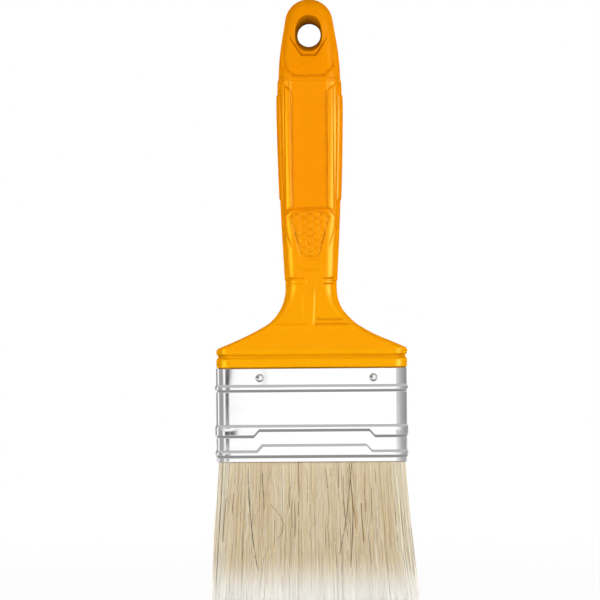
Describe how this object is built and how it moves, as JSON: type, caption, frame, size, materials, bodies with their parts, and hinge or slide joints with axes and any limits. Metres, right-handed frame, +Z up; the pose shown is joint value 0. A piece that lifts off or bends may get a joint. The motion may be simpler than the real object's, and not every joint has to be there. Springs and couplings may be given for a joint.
{
  "type": "paint brush",
  "caption": "Flat paint brush with an orange moulded handle, a hanging hole in its butt, a beaded tinplate ferrule and pale natural bristle.",
  "frame": {"origin": "the middle of the trimmed bristle ends, on the surface that the brush stands on", "axes": "+Z up the handle from the bristle ends to the hanging hole, +X across the width to the right as seen from the front, +Y from the front to the back"},
  "size_m": [0.081, 0.0178, 0.2366],
  "materials": {
    "handle_plastic": "satin orange moulded plastic",
    "tinplate": "bright tinplate",
    "nail_steel": "bright steel",
    "resin": "cast amber resin",
    "spacer_wood": "plain sawn wood",
    "bristle": "natural pale bristle with near-white tips"
  },
  "bodies": {
    "root": {"handle": "handle_plastic", "ferrule": "tinplate", "nail_front_left": "nail_steel", "nail_front_right": "nail_steel", "nail_back_left": "nail_steel", "nail_back_right": "nail_steel", "resin_setting": "resin", "spacer_front": "spacer_wood", "spacer_back": "spacer_wood", "bristle_bank_front": "bristle", "bristle_bank_middle": "bristle", "bristle_bank_back": "bristle"}
  },
  "joints": []
}
